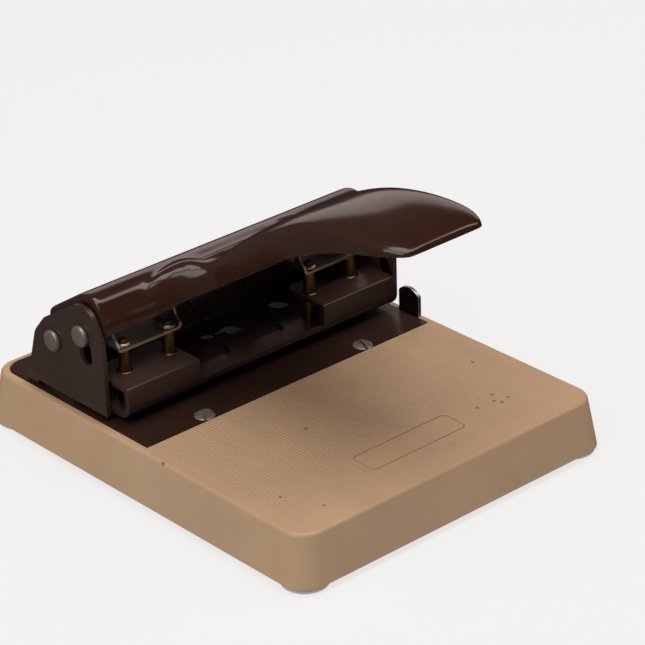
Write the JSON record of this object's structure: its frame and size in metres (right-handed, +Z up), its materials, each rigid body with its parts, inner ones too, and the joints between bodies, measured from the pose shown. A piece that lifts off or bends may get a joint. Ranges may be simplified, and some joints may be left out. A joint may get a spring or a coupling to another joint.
{
  "type": "hole punch",
  "caption": "Desk paper punch: pressed lever over paired punches in a steel frame, on a moulded base with a sliding paper stop and soft corner feet.",
  "frame": {"origin": "middle of the base in plan, at the height of the feet's undersides", "axes": "+Z up, +X to the right along the row of punches, +Y to the rear, away from the lever's lip"},
  "size_m": [0.1518, 0.1838, 0.1136],
  "materials": {
    "base_plastic": "warm beige moulding, fine lengthwise grain on the top face",
    "plate_enamel": "dark brown satin stove enamel",
    "frame_enamel": "dark brown satin stove enamel over pressed steel",
    "lever_enamel": "glossy dark brown stove enamel over pressed steel",
    "stop_steel": "satin steel strip",
    "leaf_steel": "spring steel leaf",
    "screw_steel": "dull nickel plate",
    "shaft_steel": "dull nickel plate, flat riveted heads",
    "rivet_steel": "dull nickel plate",
    "die_steel": "ground tool steel",
    "punch_brass": "yellow passivated steel, brass coloured",
    "clip_steel": "zinc plate",
    "carrier_zinc": "zinc plate",
    "spring_wire": "black oiled spring wire",
    "cover_plastic": "dark flexible plastic",
    "foot_rubber": "pale translucent soft plastic"
  },
  "bodies": {
    "base": {"base_body": "base_plastic", "top_plate": "plate_enamel", "punch_frame": "frame_enamel", "pivot_shaft": "shaft_steel", "die_ring_1": "die_steel", "die_ring_2": "die_steel", "die_ring_3": "die_steel", "die_ring_4": "die_steel", "plate_screw_left": "screw_steel", "plate_screw_right": "screw_steel", "frame_rivet_1": "rivet_steel", "frame_rivet_2": "rivet_steel", "frame_rivet_3": "rivet_steel", "frame_rivet_4": "rivet_steel", "foot_front_left": "foot_rubber", "foot_front_right": "foot_rubber", "foot_rear_left": "foot_rubber", "foot_rear_right": "foot_rubber", "stop_spring": "leaf_steel", "torsion_spring_left": "spring_wire", "torsion_spring_right": "spring_wire"},
    "lever": {"lever_shell": "lever_enamel", "drive_shaft": "shaft_steel"},
    "carrier_left": {"carrier_left": "carrier_zinc", "punch_1": "punch_brass", "punch_2": "punch_brass", "punch_clip_1": "clip_steel", "punch_clip_2": "clip_steel"},
    "carrier_right": {"carrier_right": "carrier_zinc", "punch_3": "punch_brass", "punch_4": "punch_brass", "punch_clip_3": "clip_steel", "punch_clip_4": "clip_steel"},
    "paper_stop": {"paper_stop": "stop_steel"},
    "bottom_cover": {"bottom_cover": "cover_plastic"}
  },
  "joints": [
    {"name": "lever_turn", "type": "hinge", "parent": "base", "child": "lever", "pos_m": [0, 0.0529, 0.0463], "axis": [1, 0, 0], "range_deg": [0, 24], "stiffness_Nm_per_rad": 0.6, "springref_deg": -40.11, "deforming": ["torsion_spring_left", "torsion_spring_right"]},
    {"name": "carrier_left_slide", "type": "slide", "parent": "base", "child": "carrier_left", "axis": [0, 0, -1], "range_m": [0, 0.00786]},
    {"name": "carrier_right_slide", "type": "slide", "parent": "base", "child": "carrier_right", "axis": [0, 0, -1], "range_m": [0, 0.00786]},
    {"name": "paper_stop_slide", "type": "slide", "parent": "base", "child": "paper_stop", "axis": [1, 0, 0], "range_m": [0, 0.05]},
    {"name": "bottom_cover_slide", "type": "slide", "parent": "base", "child": "bottom_cover", "axis": [0, 1, 0], "range_m": [0, 0.06]}
  ],
  "couplings": [
    {"joint": "carrier_left_slide", "follows": "lever_turn", "m_per_rad": 0.018761},
    {"joint": "carrier_right_slide", "follows": "lever_turn", "m_per_rad": 0.018761}
  ]
}
